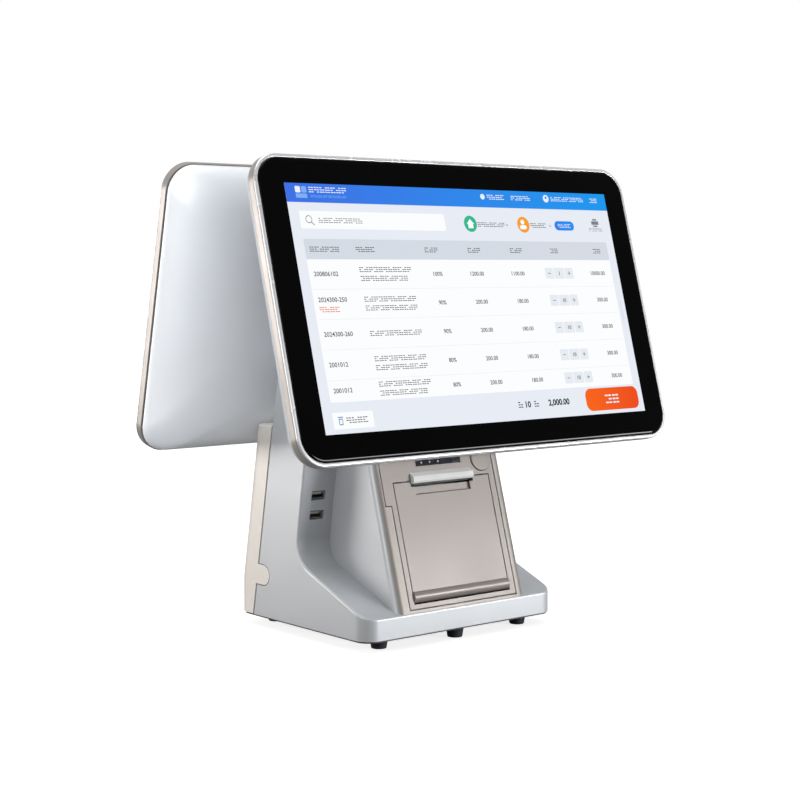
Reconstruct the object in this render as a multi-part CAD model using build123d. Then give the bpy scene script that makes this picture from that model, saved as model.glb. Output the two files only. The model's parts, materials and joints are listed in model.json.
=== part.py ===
from build123d import *
import math
import os

# Dual-screen point-of-sale terminal with a front receipt printer.
#
# Two 15.6 inch displays lean together on one stand. The cashier faces the main display from -Y, the
# customer faces the rear display from +Y, X is to the cashier's right and Z is up. Shapes are laid out
# in a working frame whose origin is the middle of the base's front bottom edge; save() shifts each
# finished piece so that the floor is Z = 0 and the middle of the whole terminal is X = Y = 0.

os.makedirs("parts", exist_ok=True)

# ---------------------------------------------------------------- driving dimensions, millimetres
# stand body
BODY_W = 207.0
BODY_WALL = 3.0
FRONT_H = 17.5  # height of the base's front face
SLOPE = 0.40  # rise of the recess floors per millimetre of depth
COLUMN_LEAN = 0.16  # forward lean of the column's front
SEAM_LEAN = 0.178  # forward lean of the seam between body and rear cover
SEAM_Y = 154.9  # that seam at the base's underside
COLUMN_TOP = 205.0
CORNER_R = 14.0
RECESS_R = 22.0
EDGE_R = 4.0
BODY_ROUND = 2.0  # round along the base's and the column's outer edges
EDGE_ROUND = 1.2  # round along the rear cover's top edges
TRAY_T = 1.5
FOOT_H = 8.5
COVER_TOP = 163.0
COVER_BACK = 178.0
COVER_WALL = 2.5
COVER_GAP = 0.4
COVER_KNEE = 30.0  # the cover's back is upright below this height
HOOK_Z, HOOK_R, HOOK_HALF = 161.4, 1.2, 80.0  # the round lip that the cover hangs and turns on
TRAY_SCREWS = [(x, y) for x in (-92.0, 92.0) for y in (32.0, 104.0)]
BOSS_H = 9.0
FEET = [(-76.0, 18.0), (0.0, 12.0), (76.0, 18.0), (-76.0, 160.0), (76.0, 160.0)]

# sockets
USB_X = -86.0
USB_HEIGHTS = (17.2, 33.9)  # up the recess wall from z = 74
PANEL_Y0, PANEL_Y1 = 146.5, 147.7
NETWORK_X, DRAWER_X, INLET_X, SOCKET_Z = 58.0, 78.0, -78.0, 17.0

# printer
HOUSING_HALF = 70.0
HOUSING_WALL = 2.5
HOUSING_R = 7.0
FRONT_LEAN = 0.29
FRONT_Y = 0.5
PRINTER_X = 1.0  # middle of the door and of the print mechanism
DOOR_HALF = 52.0
DOOR_T = 3.5
DOOR_TOP = 106.5
HINGE_S, HINGE_N, BARREL_R = 13.2, -2.8, 5.0
BEZEL_T = 3.0
BEZEL_GAP = 0.8  # dark seam between the bezel and the housing around it
BEZEL_LEFT, BEZEL_RIGHT, BEZEL_WING = -56.5, 59.5, -62.5
BEZEL_LOW, BEZEL_STEP, BEZEL_HIGH = 3.2, 88.7, 144.0
HOUSING_TOP = 160.0
ROOF_BACK_Z = 171.0
STRIP_X0, STRIP_X1, STRIP_S0, STRIP_S1 = -24.0, 25.0, 118.6, 124.0
FEED_X0, FEED_X1 = 15.0, 24.0
LIGHTS = (-18.0, -9.0, 0.0)
SLOT_HALF = 34.0
EXIT_S = 102.0
PLATEN_S, PLATEN_N, PLATEN_R, PLATEN_HALF = 98.5, -12.8, 4.5, 29.0
SHAFT_R = 2.0
GEAR_MODULE, PLATEN_TEETH, MOTOR_TEETH, GEAR_BACKLASH = 0.6, 24, 12, 0.25
RUNNING_GAP = 0.06  # radial clearance of every pin that turns
BUTTON_X, BUTTON_S, BUTTON_R = 47.0, 120.5, 10.6
LEVER_S, LEVER_N = 111.0, -20.0
DOOR_PIN_R = 1.5
CHASSIS_X, CHASSIS_T = 36.0, 2.0
LEVER_X, LEVER_T = 44.5, 3.0
ROLL_Y, ROLL_Z, ROLL_R, ROLL_HALF = 60.0, 55.5, 32.0, 30.0  # the drum for a 60 mm roll of 58 mm paper
ROLL_LIP = 44.0  # how far up the printer's front the drum's front lip reaches

# displays
GLASS_W, GLASS_H, GLASS_T, GLASS_R = 389.0, 234.0, 3.0, 20.0
FRAME_W, FRAME_H, FRAME_R = 396.0, 241.0, 23.5
LIP_DROP = 0.8  # the frame's lip lies this far behind the glass
FRAME_BACK = 9.0
LCD_W, LCD_H, LCD_T = 363.8, 215.9, 5.4
SHELL_DEPTH, SHELL_WALL = 37.0, 2.5
PLATE_T = 1.2
MOUNT_PITCH = 75.0
BRACKET_T = 2.5
HINGE_DEPTH = 54.0  # hinge axis behind the glass
HINGE_PIN_R = 4.0
BRACKET_EAR_X, BRACKET_EAR_T = 34.5, 3.5
HEAD_R = 12.0  # radius of the spine's ears around the hinge shafts
CHEEK_X, CHEEK_T = 40.0, 3.0
SPINE_W = 28.0
MAIN_Y, MAIN_Z, MAIN_TILT = -13.9, 265.2, 15.4
REAR_Y, REAR_Z, REAR_TILT = 166.3, 262.5, 12.5

BODY_HALF = BODY_W / 2
MAIN_FRONT_Y = MAIN_Y - FRAME_H / 2 * math.sin(math.radians(MAIN_TILT))
REAR_BACK_Y = REAR_Y + FRAME_H / 2 * math.sin(math.radians(REAR_TILT))
Y_MIDDLE = (MAIN_FRONT_Y + REAR_BACK_Y) / 2
FLOOR_Z = -(TRAY_T + FOOT_H)


# ---------------------------------------------------------------- helpers
def save(name, shape):
    """Writes one piece, moved from the working frame to the terminal's own frame."""
    placed = Pos(0, -Y_MIDDLE, -FLOOR_Z) * shape
    solids = placed.solids()
    whole = solids[0] if len(solids) == 1 else Compound(children=list(solids))
    export_step(whole, f"parts/{name}.step")


def block(x0, x1, y0, y1, z0, z1):
    """A box between two opposite corners."""
    return Pos((x0 + x1) / 2, (y0 + y1) / 2, (z0 + z1) / 2) * Box(x1 - x0, y1 - y0, z1 - z0)


def side_prism(outline, x0, x1):
    """A prism along X; the outline is a sketch or a list of (y, z) points."""
    face = Polygon(*outline, align=None) if isinstance(outline, list) else outline
    return extrude(Plane.YZ.offset(x0) * face, x1 - x0, dir=(1, 0, 0))


def raise_up(outline, z0, z1):
    """A prism along Z between two heights."""
    return extrude(Pos(0, 0, z0) * outline, z1 - z0, dir=(0, 0, 1))


def rod(radius, x0, x1, y, z):
    """A cylinder along X."""
    upright = Cylinder(radius, x1 - x0, align=(Align.CENTER, Align.CENTER, Align.MIN))
    return Pos(x0, y, z) * Rot(0, 90, 0) * upright


def plate(width, height, radius, z0, z1):
    """A rounded rectangular plate between two heights, centred on Z."""
    return raise_up(RectangleRounded(width, height, radius), z0, z1)


def column_front(z):
    """The column's front face at height z, as the distance behind the base's front edge."""
    return 90.0 - COLUMN_LEAN * (z - 74.0)


def seam_y(z):
    """The seam between the body and the rear cover at height z."""
    return SEAM_Y - SEAM_LEAN * z


def edges_near(shape, test):
    """The edges whose middle passes a test on (x, y, z)."""
    return [e for e in shape.edges() if test(e.center())]


LEAN_ANGLE = math.atan(FRONT_LEAN)
FRONT = Plane(
    origin=(0, FRONT_Y, FRONT_H), x_dir=(1, 0, 0), z_dir=(0, -math.cos(LEAN_ANGLE), math.sin(LEAN_ANGLE))
)
WALL_ANGLE = math.atan(COLUMN_LEAN)
RECESS = Plane(
    origin=(0, column_front(74.0), 74.0),
    x_dir=(1, 0, 0),
    z_dir=(0, -math.cos(WALL_ANGLE), -math.sin(WALL_ANGLE)),
)


def on_front(shape):
    """Places a shape drawn as (x, up the printer's front, out of it)."""
    return FRONT.location * shape


def front_rod(radius, x0, x1, s, n):
    """A cylinder along X placed on the printer's front."""
    return on_front(rod(radius, x0, x1, s, n))


# ---------------------------------------------------------------- stand body
SLOPE_END_Y = (90.0 + COLUMN_LEAN * (74.0 - FRONT_H)) / (1 + COLUMN_LEAN * SLOPE)
SLOPE_END_Z = FRONT_H + SLOPE * SLOPE_END_Y


def body_outline():
    """Side outline of wedge base and column, with the recess corner rounded."""
    outline = Polygon(
        (0, 0),
        (0, FRONT_H),
        (SLOPE_END_Y, SLOPE_END_Z),
        (column_front(COLUMN_TOP), COLUMN_TOP),
        (seam_y(COLUMN_TOP), COLUMN_TOP),
        (SEAM_Y, 0),
        align=None,
    )
    corner = [v for v in outline.vertices() if abs(v.X - SLOPE_END_Y) < 0.1 and abs(v.Y - SLOPE_END_Z) < 0.1]
    rounded = fillet(corner, RECESS_R)
    small = [v for v in rounded.vertices() if v.Y > COLUMN_TOP - 1]
    return fillet(small, EDGE_R)


def plan_block(half, front, radius, z0, z1):
    """A tall block with rounded front corners, to trim the body's plan."""
    outline = Pos(0, front + 200, 0) * Rectangle(2 * half, 400)
    corners = [v for v in outline.vertices() if v.Y < front + 1]
    return raise_up(fillet(corners, radius), z0, z1)


def tab_outline(gap):
    """The D-shaped finger tab of the rear cover, grown by gap for its notch."""
    middle_z, reach = 35.5, 9.0
    y = seam_y(middle_z)
    stem = Pos(y - reach / 2 + 2, middle_z) * Rectangle(reach + 4, 17 + 2 * gap)
    return stem + Pos(y - reach, middle_z) * Circle(8.5 + gap)


def make_body_shell():
    outline = body_outline()
    outer = side_prism(outline, -BODY_HALF, BODY_HALF) & plan_block(BODY_HALF, 0, CORNER_R, -1, 210)
    rim = edges_near(outer, lambda c: abs(c.X) > BODY_HALF - 3 or c.Y < 1)
    rim = [e for e in rim if e.center().Z > FRONT_H - 0.1 and e.center().Y < seam_y(e.center().Z) - 1]
    outer = fillet(rim, BODY_ROUND)
    inner_half = BODY_HALF - BODY_WALL
    hollow = side_prism(offset(outline, -BODY_WALL, kind=Kind.INTERSECTION), -inner_half, inner_half)
    hollow &= plan_block(inner_half, BODY_WALL, CORNER_R - BODY_WALL, -1, 210)
    shell = outer - hollow
    shell -= plan_block(inner_half, BODY_WALL, CORNER_R - BODY_WALL, -1, BODY_WALL + 0.1) & block(
        -110, 110, -1, seam_y(0) + 5, -1, BODY_WALL + 0.1
    )
    low, high = 0.0, COVER_TOP
    rear_window = [
        (seam_y(low) - 8, low - 1),
        (seam_y(low) + 8, low - 1),
        (seam_y(high) + 8, high),
        (seam_y(high) - 8, high),
    ]
    shell -= side_prism(rear_window, -inner_half, inner_half)
    printer_half = HOUSING_HALF - HOUSING_WALL - 1.5
    shell -= block(-printer_half, printer_half, 6.0, column_front(168) + 20, FRONT_H + 1.0, 166.0)
    shell -= block(-47, 47, 74, 112, COLUMN_TOP - 6, COLUMN_TOP + 1)
    for side in (-1, 1):
        notch = side_prism(tab_outline(0.7), BODY_HALF - 4, BODY_HALF + 1)
        shell -= notch if side > 0 else notch.mirror(Plane.YZ)
    for x, y in TRAY_SCREWS:
        outward = math.copysign(1, x)
        rib = block(*sorted((x, outward * (inner_half + 1))), y - 1, y + 1, 0, BOSS_H)
        shell += Pos(x, y, BOSS_H / 2) * Cylinder(4.0, BOSS_H) + rib
        shell -= Pos(x, y, 4) * Cylinder(1.5, 8.0)
    for up in USB_HEIGHTS:
        shell -= RECESS.location * Pos(USB_X, up, 0) * Box(14.4, 7.6, 16.0)
    return shell


def make_base_tray():
    length = COVER_BACK - 3.0
    tray = Pos(0, 1.5 + length / 2, 0) * plate(BODY_W - 3, length, 12, -TRAY_T, 0)
    for x, y in TRAY_SCREWS:
        tray -= Pos(x, y, -TRAY_T / 2) * Cylinder(1.6, 2 * TRAY_T)
    return tray


def make_feet():
    foot = Pos(0, 0, FLOOR_Z) * Cone(6.2, 7.6, FOOT_H, align=(Align.CENTER, Align.CENTER, Align.MIN))
    foot = fillet(edges_near(foot, lambda c: c.Z < FLOOR_Z + 0.1), 0.7)
    return [Pos(x, y, 0) * foot for x, y in FEET]


def make_tray_screws():
    head = Pos(0, 0, -TRAY_T - 0.7) * Cylinder(2.9, 1.4)
    shank = Pos(0, 0, (8 - TRAY_T) / 2) * Cylinder(1.5, 8 + TRAY_T)
    return [Pos(x, y, 0) * (head + shank) for x, y in TRAY_SCREWS]


def cover_solid(grow, corner_radius, open_ends):
    """The rear cover's outer form, or with a negative grow its hollow."""
    low = -2.0 if open_ends else 0.2
    high = COVER_TOP + grow
    back = COVER_BACK + grow
    front_shift = -12.0 if open_ends else COVER_GAP
    slope_back = back - SEAM_LEAN * (high - COVER_KNEE)
    outline = [
        (seam_y(low) + front_shift, low),
        (back, low),
        (back, COVER_KNEE),
        (slope_back, high),
        (seam_y(high) + front_shift, high),
    ]
    half = BODY_HALF + grow
    form = side_prism(outline, -half, half)
    corners = edges_near(
        form, lambda c: abs(abs(c.X) - half) < 0.1 and c.Y > seam_y(c.Z) + 12 and low < c.Z < high
    )
    return fillet(corners, corner_radius)


def hook_y():
    """The cover's hook lip lies just inside the body's rear window."""
    return seam_y(HOOK_Z) - 1.0


def make_rear_cover():
    outer = cover_solid(0, CORNER_R, False)
    top_edges = edges_near(outer, lambda c: c.Z > COVER_TOP - 0.1 and c.Y > seam_y(COVER_TOP) + 2)
    cover = fillet(top_edges, EDGE_ROUND) - cover_solid(-COVER_WALL, CORNER_R - COVER_WALL, True)
    lip = rod(HOOK_R, -HOOK_HALF, HOOK_HALF, hook_y(), HOOK_Z)
    web = block(-HOOK_HALF, HOOK_HALF, hook_y(), hook_y() + 4, HOOK_Z - 0.7, HOOK_Z + 0.7)
    cover += lip + web
    for side in (-1, 1):
        tab = side_prism(tab_outline(0.0), BODY_HALF - COVER_WALL, BODY_HALF)
        cover += tab if side > 0 else tab.mirror(Plane.YZ)
    cable_exit = Pos(0, COVER_BACK, 0) * Box(44, 20, 28)
    return cover - cable_exit


# ---------------------------------------------------------------- spine and neck
def hinge_point(y, z, tilt, facing):
    """The hinge axis (y, z) of a display whose glass is centred on (y, z)."""
    angle = math.radians(tilt)
    return y - facing * HINGE_DEPTH * math.cos(angle), z - HINGE_DEPTH * math.sin(angle)


MAIN_HINGE = hinge_point(MAIN_Y, MAIN_Z, MAIN_TILT, -1)
REAR_HINGE = hinge_point(REAR_Y, REAR_Z, REAR_TILT, 1)


def spine_back(z):
    return seam_y(z) - 12.0


def make_spine():
    """Steel post: two cheeks joined by a web, with bored ears for both display hinges."""
    foot_top, shoulder = 2.0, 236.0
    cheek = [
        (spine_back(foot_top) - SPINE_W, foot_top),
        (spine_back(foot_top), foot_top),
        (spine_back(shoulder), shoulder),
        (spine_back(shoulder) - SPINE_W, shoulder),
    ]
    parts = []
    for side in (-1, 1):
        x0 = CHEEK_X if side > 0 else -CHEEK_X - CHEEK_T
        x1 = x0 + CHEEK_T
        arm = block(x0, x1, MAIN_HINGE[0], REAR_HINGE[0], MAIN_HINGE[1] - HEAD_R - 4, MAIN_HINGE[1] + HEAD_R)
        ear = side_prism(cheek, x0, x1) + arm
        for y, z in (MAIN_HINGE, REAR_HINGE):
            ear += rod(HEAD_R, x0, x1, y, z)
            ear -= rod(HINGE_PIN_R, x0 - 1, x1 + 1, y, z)
        parts.append(ear)
    web = [
        (spine_back(foot_top) - 3, foot_top),
        (spine_back(foot_top), foot_top),
        (spine_back(shoulder), shoulder),
        (spine_back(shoulder) - 3, shoulder),
    ]
    foot = block(-60, 60, spine_back(foot_top) - SPINE_W, spine_back(foot_top), 0, foot_top)
    spine = parts[0] + parts[1] + side_prism(web, -CHEEK_X, CHEEK_X) + foot
    return spine


def make_hinge_shafts(point):
    """Two shafts, each pressed into one cheek of the spine and reaching inwards through the bracket's ear."""
    inner, outer = BRACKET_EAR_X - 3.0, CHEEK_X + CHEEK_T + 2.0
    right = rod(HINGE_PIN_R, inner, outer, *point)
    return [right, right.mirror(Plane.YZ)]


def hex_nut(x0, x1, y, z, across):
    nut = Rot(0, 90, 0) * raise_up(RegularPolygon(across / 2, 6, major_radius=False), 0, x1 - x0)
    bore = rod(HINGE_PIN_R, x0 - 1, x1 + 1, y, z)
    return Pos(x0, y, z) * nut - bore


def make_hinge_nuts():
    nuts = []
    for y, z in (MAIN_HINGE, REAR_HINGE):
        nut = hex_nut(CHEEK_X + CHEEK_T, CHEEK_X + CHEEK_T + 2, y, z, 13)
        nuts += [nut, nut.mirror(Plane.YZ)]
    return nuts


def make_neck_cover():
    top, half, wall, inset_front, inset_rear = 276.0, 55.0, 2.5, 4.0, 6.0
    outline = Polygon(
        (column_front(COLUMN_TOP) + inset_front, COLUMN_TOP),
        (column_front(top) + inset_front, top),
        (seam_y(top) - inset_rear, top),
        (seam_y(COLUMN_TOP) - inset_rear, COLUMN_TOP),
        align=None,
    )
    upper = [v for v in outline.vertices() if v.Y > top - 1]
    rounded = fillet(upper, 12.0)
    neck = side_prism(rounded, -half, half)
    neck = fillet(edges_near(neck, lambda c: abs(abs(c.X) - half) < 0.1 and c.Z > COLUMN_TOP + 1), 2.0)
    hollow = side_prism(offset(rounded, -wall, kind=Kind.INTERSECTION), -half + wall, half - wall)
    neck -= hollow
    neck -= block(-half + wall, half - wall, column_front(COLUMN_TOP) + 8, seam_y(COLUMN_TOP) - 10, 200, 209)
    neck -= block(-48, 48, 40, 130, 232.0, 267.0)
    return neck


# ---------------------------------------------------------------- printer: fixed pieces
def front_y(z):
    """The printer front's distance behind the base's front edge at height z."""
    return FRONT_Y + FRONT_LEAN * (z - FRONT_H)


def bezel_outline(gap):
    """Outline of the printer's front bezel; its left edge steps out near the top."""
    return Polygon(
        (BEZEL_LEFT - gap, BEZEL_LOW - gap),
        (BEZEL_RIGHT + gap, BEZEL_LOW - gap),
        (BEZEL_RIGHT + gap, BEZEL_HIGH + gap),
        (BEZEL_WING - gap, BEZEL_HIGH + gap),
        (BEZEL_WING - gap, BEZEL_STEP - gap),
        (BEZEL_LEFT - gap, BEZEL_STEP - gap),
        align=None,
    )


def make_printer_housing():
    base_z = FRONT_H
    outer = side_prism(
        [
            (front_y(base_z), base_z),
            (front_y(HOUSING_TOP), HOUSING_TOP),
            (front_y(HOUSING_TOP) + 7, HOUSING_TOP + 5),
            (column_front(ROOF_BACK_Z), ROOF_BACK_Z),
            (column_front(SLOPE_END_Z), SLOPE_END_Z),
        ],
        -HOUSING_HALF,
        HOUSING_HALF,
    )
    front_edges = edges_near(
        outer,
        lambda c: abs(abs(c.X) - HOUSING_HALF) < 0.1 and abs(c.Y - front_y(c.Z)) < 0.1 and 60 < c.Z < 120,
    )
    outer = fillet(front_edges, HOUSING_R)
    thick = HOUSING_WALL / math.cos(LEAN_ANGLE)
    inner_half = HOUSING_HALF - HOUSING_WALL
    hollow = side_prism(
        [
            (front_y(0) + thick, 0),
            (front_y(HOUSING_TOP - 2) + thick, HOUSING_TOP - 2),
            (front_y(HOUSING_TOP) + 8, HOUSING_TOP + 2.5),
            (column_front(ROOF_BACK_Z) + 20, ROOF_BACK_Z - HOUSING_WALL + 2),
            (130, 0),
        ],
        -inner_half,
        inner_half,
    )
    hollow_edges = edges_near(
        hollow,
        lambda c: abs(abs(c.X) - inner_half) < 0.1
        and abs(c.Y - thick - front_y(c.Z)) < 0.5
        and 40 < c.Z < 140,
    )
    hollow = fillet(hollow_edges, HOUSING_R - HOUSING_WALL)
    housing = outer - hollow - side_prism(body_outline(), -BODY_HALF, BODY_HALF)
    opening = raise_up(bezel_outline(BEZEL_GAP), -6, 6)
    return housing - on_front(opening)


def make_printer_bezel():
    bezel = raise_up(bezel_outline(0), -BEZEL_T, 0)
    bezel = fillet(edges_near(bezel, lambda c: c.Z > -0.1), 0.4)
    door_left, door_right = PRINTER_X - DOOR_HALF - 0.6, PRINTER_X + DOOR_HALF + 0.6
    bezel -= block(door_left, door_right, 6.9, DOOR_TOP + 0.6, -5, 2)
    bezel -= block(STRIP_X0, STRIP_X1, STRIP_S0, STRIP_S1, -5, 2)
    bezel -= Pos(BUTTON_X, BUTTON_S, -2) * Cylinder(BUTTON_R + 0.4, 8)
    for x0, x1 in ((BEZEL_LEFT + 0.4, door_left - 0.1), (door_right + 0.1, BEZEL_RIGHT - 1.2)):
        lug = block(x0, x1, HINGE_S - 4.5, HINGE_S + 4.5, HINGE_N - 4.5, -BEZEL_T + 0.5)
        bezel += lug
        bezel -= rod(DOOR_PIN_R + RUNNING_GAP, x0 - 1, x1 + 1, HINGE_S, HINGE_N)
    return on_front(bezel)


def make_exit_bar():
    """The light bar over the paper exit, held in the bezel above the door."""
    bar_low, bar_high = EXIT_S + 2.6, 113.7
    half = SLOT_HALF - 1.0
    outline = [
        (bar_low, -3),
        (bar_low, 2.2),
        (bar_low + 1.6, 3.8),
        (bar_high - 3.5, 3.8),
        (bar_high, 0),
        (DOOR_TOP + 0.6, 0),
        (DOOR_TOP + 0.6, -3),
    ]
    bar = side_prism(outline, PRINTER_X - half, PRINTER_X + half)
    return on_front(fillet(edges_near(bar, lambda c: c.Z > 0.5), 0.5))


def make_tear_blade():
    """Toothed steel strip under the exit bar."""
    pitch, half = 1.6, SLOT_HALF - 4.0
    count = int(2 * half / pitch)
    points = [(-half, -9.0), (-half, -0.6)]
    for i in range(count):
        points += [(-half + (i + 0.5) * pitch, 0.4), (-half + (i + 1) * pitch, -0.6)]
    points += [(-half + count * pitch, -9.0)]
    blade = raise_up(Polygon(*points, align=None), 0, 0.5)
    upright = Location((PRINTER_X, EXIT_S + 2.0, 0), (90, 0, 0))
    return on_front(upright * blade)


def make_indicator_strip():
    strip = block(STRIP_X0 + 0.15, STRIP_X1 - 0.15, STRIP_S0 + 0.15, STRIP_S1 - 0.15, -2.6, 0.3)
    strip -= block(FEED_X0 - 0.3, FEED_X1 + 0.3, STRIP_S0 + 0.5, STRIP_S1 - 0.5, -4, 2)
    for x in LIGHTS:
        strip -= Pos(x, (STRIP_S0 + STRIP_S1) / 2, 0) * Cylinder(0.9, 8)
    return on_front(strip)


def make_indicator_lights():
    middle = (STRIP_S0 + STRIP_S1) / 2
    return [on_front(Pos(x, middle, -1.1) * Cylinder(0.9, 3.0)) for x in LIGHTS]


def make_feed_button():
    low, high = STRIP_S0 + 0.8, STRIP_S1 - 0.8
    button = block(FEED_X0, FEED_X1, low, high, -2.0, 0.9)
    return on_front(fillet(edges_near(button, lambda c: c.Z > 0.8), 0.3))


def make_release_button():
    cap = Pos(BUTTON_X, BUTTON_S, -1.3) * Cylinder(BUTTON_R, 5.0)
    rim = [e for e in cap.edges() if e.center().Z > 1.0 and e.geom_type == GeomType.CIRCLE]
    cap = fillet(rim, 1.2)
    stem = Pos(BUTTON_X, BUTTON_S, -8.0) * Cylinder(3.0, 8.8)
    return on_front(cap + stem)


def make_release_lever():
    """Rocker between the release button's stem and the end of the platen shaft."""
    outline = Polygon((96.5, -19.6), (101, -19.6), (107, -17.0), (114, -15.6), (117, -13.4), (124, -13.4),
                      (124, -16), (116, -20.5), (112, -24.5), (106, -24), (96.5, -22.6), align=None)
    lever = side_prism(outline, LEVER_X, LEVER_X + LEVER_T)
    bore = rod(DOOR_PIN_R + RUNNING_GAP, LEVER_X - 1, LEVER_X + LEVER_T + 1, LEVER_S, LEVER_N)
    return on_front(lever - bore)


def make_printer_chassis():
    """Black frame over the paper bucket; its side plates are notched for the platen shaft."""
    back, front, low, high = -38.0, -8.0, 86.0, 116.0
    chassis = None
    for side in (-1, 1):
        x0 = PRINTER_X + (CHASSIS_X if side > 0 else -CHASSIS_X - CHASSIS_T)
        cheek = block(x0, x0 + CHASSIS_T, low, high, back, front)
        cheek -= block(x0 - 1, x0 + CHASSIS_T + 1, PLATEN_S - 2.6, PLATEN_S + 2.8, PLATEN_N - 2.6, front + 1)
        chassis = cheek if chassis is None else chassis + cheek
    half = CHASSIS_X + CHASSIS_T
    chassis += block(PRINTER_X - half, PRINTER_X + half, low, high, back, back + 2)
    chassis += block(PRINTER_X - half, PRINTER_X + half, high - 2, high, back, -BEZEL_T)
    chassis -= rod(DOOR_PIN_R, PRINTER_X + CHASSIS_X - 1, PRINTER_X + half + 1, LEVER_S, LEVER_N)
    chassis -= block(LEVER_X - 1, LEVER_X + LEVER_T + 1, high - 3, high + 1, -30, -BEZEL_T + 1)
    chassis -= block(LEVER_X - 10, LEVER_X + 20, high - 3, high + 1, -14, -BEZEL_T + 1)
    return on_front(chassis)


def make_print_head():
    face = PLATEN_N - PLATEN_R - 0.2
    head = block(PRINTER_X - 27, PRINTER_X + 27, PLATEN_S - 5, PLATEN_S + 12, face - 1.2, face)
    sink = block(PRINTER_X - 30, PRINTER_X + 30, PLATEN_S - 6, PLATEN_S + 13, face - 5.2, face - 1.2)
    for i in range(7):
        x = PRINTER_X - 25.5 + 8 * i
        sink += block(x, x + 3, PLATEN_S - 6, PLATEN_S + 13, face - 9.2, face - 5.2)
    return on_front(head), on_front(sink)


MOTOR_N = PLATEN_N - GEAR_MODULE * (PLATEN_TEETH + MOTOR_TEETH) / 2 - 0.1
GEAR_X0, GEAR_T = PRINTER_X - 42.0, 3.0


def make_feed_motor():
    """Stepper motor outside the chassis; its shaft is part of the turning gear."""
    x1 = GEAR_X0 - 1.0
    can = block(x1 - 18, x1, PLATEN_S - 10, PLATEN_S + 10, MOTOR_N - 10, MOTOR_N + 10)
    can -= rod(1.5 + RUNNING_GAP, x1 - 12, x1 + 1, PLATEN_S, MOTOR_N)
    flange = block(x1 - 1.2, x1, PLATEN_S - 14, PLATEN_S + 14, MOTOR_N - 10, MOTOR_N + 6)
    flange -= rod(1.5 + RUNNING_GAP, x1 - 12, x1 + 1, PLATEN_S, MOTOR_N)
    return on_front(can + flange)


def gear(teeth, bore, turn):
    """A spur gear along X from 0 to GEAR_T, with straight-sided teeth and some backlash."""
    pitch_r = GEAR_MODULE * teeth / 2
    root, tip = pitch_r - 1.25 * GEAR_MODULE, pitch_r + 0.95 * GEAR_MODULE
    step = 2 * math.pi / teeth
    half_pitch = step / 4 - GEAR_BACKLASH / 2 / pitch_r
    widths = ((root, 1.45 * half_pitch), (tip, 0.50 * half_pitch))
    points = []
    for i in range(teeth):
        middle = turn + i * step
        for radius, half in (widths[0], widths[1]):
            points.append((radius * math.cos(middle - half), radius * math.sin(middle - half)))
        for radius, half in (widths[1], widths[0]):
            points.append((radius * math.cos(middle + half), radius * math.sin(middle + half)))
    wheel = side_prism(Polygon(*points, align=None), 0, GEAR_T)
    if bore:
        wheel -= rod(bore, -1, GEAR_T + 1, 0, 0)
    return wheel


def make_motor_gear():
    """The tooth at local angle 0 points out of the printer, between two platen gear teeth."""
    pinion = Pos(GEAR_X0, PLATEN_S, MOTOR_N) * gear(MOTOR_TEETH, 0, math.pi / 2)
    shaft = rod(1.5, GEAR_X0 - 12, GEAR_X0 + 0.5, PLATEN_S, MOTOR_N)
    return on_front(pinion + shaft)


def make_paper_bucket():
    """Drum for the paper roll, open at the top and towards the door above its front lip."""
    wall = 2.0
    drum = rod(ROLL_R + wall, PRINTER_X - ROLL_HALF - wall, PRINTER_X + ROLL_HALF + wall, ROLL_Y, ROLL_Z)
    drum -= rod(ROLL_R, PRINTER_X - ROLL_HALF, PRINTER_X + ROLL_HALF, ROLL_Y, ROLL_Z)
    middle_n = FRONT.to_local_coords(Vector(0, ROLL_Y, ROLL_Z)).Z
    return drum - on_front(block(-60, 60, ROLL_LIP, 170, middle_n - 16, 60))


# ---------------------------------------------------------------- printer: door and platen
def make_paper_door():
    left, right = PRINTER_X - DOOR_HALF, PRINTER_X + DOOR_HALF
    door = block(left, right, HINGE_S + 1, DOOR_TOP, -DOOR_T, 0)
    door = fillet(edges_near(door, lambda c: c.Z > -0.1 and c.Y > HINGE_S + 2), 0.6)
    door += rod(BARREL_R, left, right, HINGE_S, HINGE_N)
    door -= block(PRINTER_X - SLOT_HALF, PRINTER_X + SLOT_HALF, EXIT_S, DOOR_TOP + 1, -6, 3)
    scoop = Polygon((95.2, 0.1), (96.4, -2.2), (EXIT_S + 0.1, -2.2), (EXIT_S + 0.1, 0.1), align=None)
    door -= side_prism(scoop, PRINTER_X - 30, PRINTER_X + 30)
    door -= rod(DOOR_PIN_R, left - 1, left + 7, HINGE_S, HINGE_N)
    door -= rod(DOOR_PIN_R, right - 7, right + 1, HINGE_S, HINGE_N)
    return on_front(door)


def make_door_pins():
    left, right = PRINTER_X - DOOR_HALF, PRINTER_X + DOOR_HALF
    return [
        front_rod(DOOR_PIN_R, left - 4.4, left + 6.5, HINGE_S, HINGE_N),
        front_rod(DOOR_PIN_R, right - 6.5, right + 4.6, HINGE_S, HINGE_N),
    ]


def make_platen_holder():
    holder = block(PRINTER_X - 33, PRINTER_X + 33, 84, 88, -9, -DOOR_T)
    for x0 in (PRINTER_X - 33, PRINTER_X + 30.5):
        arm = block(x0, x0 + 2.5, 84, PLATEN_S + 3, PLATEN_N - 3, -DOOR_T)
        holder += arm - rod(SHAFT_R + RUNNING_GAP, x0 - 1, x0 + 4, PLATEN_S, PLATEN_N)
    return on_front(holder)


def make_platen_roller():
    roller = rod(PLATEN_R, PRINTER_X - PLATEN_HALF, PRINTER_X + PLATEN_HALF, PLATEN_S, PLATEN_N)
    return on_front(roller - rod(SHAFT_R, -60, 60, PLATEN_S, PLATEN_N))


def make_platen_shaft():
    return front_rod(SHAFT_R, GEAR_X0 - 0.5, LEVER_X + LEVER_T, PLATEN_S, PLATEN_N)


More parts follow.
